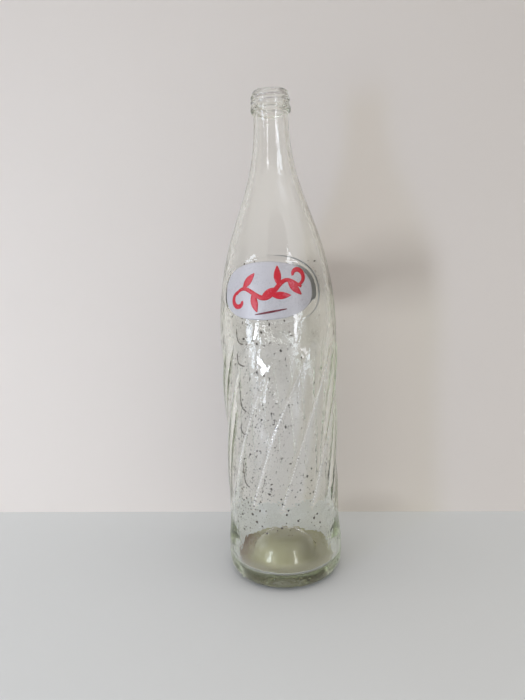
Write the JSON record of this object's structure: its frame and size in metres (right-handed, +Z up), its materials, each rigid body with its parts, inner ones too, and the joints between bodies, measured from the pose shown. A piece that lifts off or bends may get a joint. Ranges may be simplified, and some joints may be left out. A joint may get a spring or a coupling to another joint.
{
  "type": "glass soda bottle",
  "caption": "Clear returnable screw-finish glass soda bottle with a spiral-fluted body, long smooth neck, embossed oval panels and fired enamel labels.",
  "frame": {"origin": "centre of the base on the plane that the bottle stands on", "axes": "+Z up the bottle's axis to the lip, -Y towards the front label"},
  "size_m": [0.085, 0.085, 0.3485],
  "materials": {
    "clear_glass": "fire-polished blown soda-lime glass, faintly green",
    "white_enamel": "fired ceramic screen print, softly worn",
    "red_enamel": "fired ceramic screen print, softly worn",
    "dark_red_enamel": "fired ceramic screen print, softly worn"
  },
  "bodies": {
    "root": {"glass_bottle": "clear_glass", "front_label_ground": "white_enamel", "front_label_sprig": "red_enamel", "front_label_rule": "dark_red_enamel", "back_label_ground": "white_enamel", "back_label_sprig": "red_enamel", "back_label_rule": "dark_red_enamel"}
  },
  "joints": []
}
